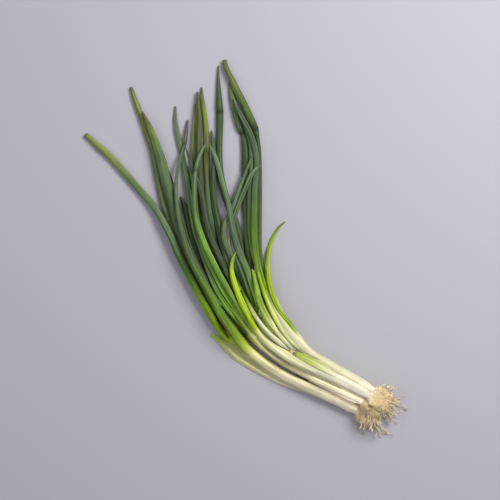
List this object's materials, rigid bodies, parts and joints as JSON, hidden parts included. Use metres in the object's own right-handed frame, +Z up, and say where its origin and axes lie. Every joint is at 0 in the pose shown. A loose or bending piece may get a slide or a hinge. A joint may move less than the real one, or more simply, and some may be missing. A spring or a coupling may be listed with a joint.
{
  "type": "spring onion bunch",
  "caption": "Loose bunch of spring onions lying flat: pale shanks with fibrous roots at one end, green tubular leaves fanning out and folding at the other.",
  "frame": {"origin": "on the surface that the bunch lies on, under the middle of its bounding box", "axes": "+Z up from the surface; +Y towards the leaf tips, so that the roots lie at -Y; +X towards the side on which the roots lie"},
  "size_m": [0.3244, 0.3786, 0.0227],
  "materials": {
    "shank": "smooth, moist, cream white to pale green skin",
    "green": "smooth waxy green leaf with fine veins along it",
    "grey_green": "green leaf under a grey waxy bloom",
    "dark_green": "dark blue-green waxy leaf",
    "lime": "bright yellow-green young leaf",
    "sheath": "thin, dry, olive to straw coloured skin",
    "roots": "dry, straw coloured fibres"
  },
  "bodies": {
    "root": {"torn_sheath": "sheath", "shank_5": "shank", "leaf_5a": "green", "leaf_5b": "green", "leaf_5c": "dark_green", "shank_4": "shank", "shank_1": "shank", "shank_6": "shank", "shank_2": "shank", "shank_3": "shank", "leaf_2c": "dark_green", "leaf_2b": "grey_green", "leaf_2e": "green", "leaf_3d": "green", "leaf_6a": "green", "leaf_6b": "grey_green", "leaf_4a": "grey_green", "leaf_5d": "grey_green", "leaf_1b": "grey_green", "leaf_2d": "grey_green", "leaf_2a": "green", "leaf_1a": "green", "leaf_1c": "green", "leaf_3a": "green", "leaf_3c": "grey_green", "leaf_6c": "green", "leaf_4b": "grey_green", "leaf_4c": "grey_green", "leaf_3b": "green", "sheath_tip_6": "shank", "young_leaf_4": "lime", "sheath_tip_4": "shank", "young_leaf_3": "lime", "young_leaf_6": "lime", "torn_flap": "lime", "roots_1": "roots", "roots_2": "roots", "roots_3": "roots", "roots_4": "roots", "roots_5": "roots", "roots_6": "roots"}
  },
  "joints": []
}
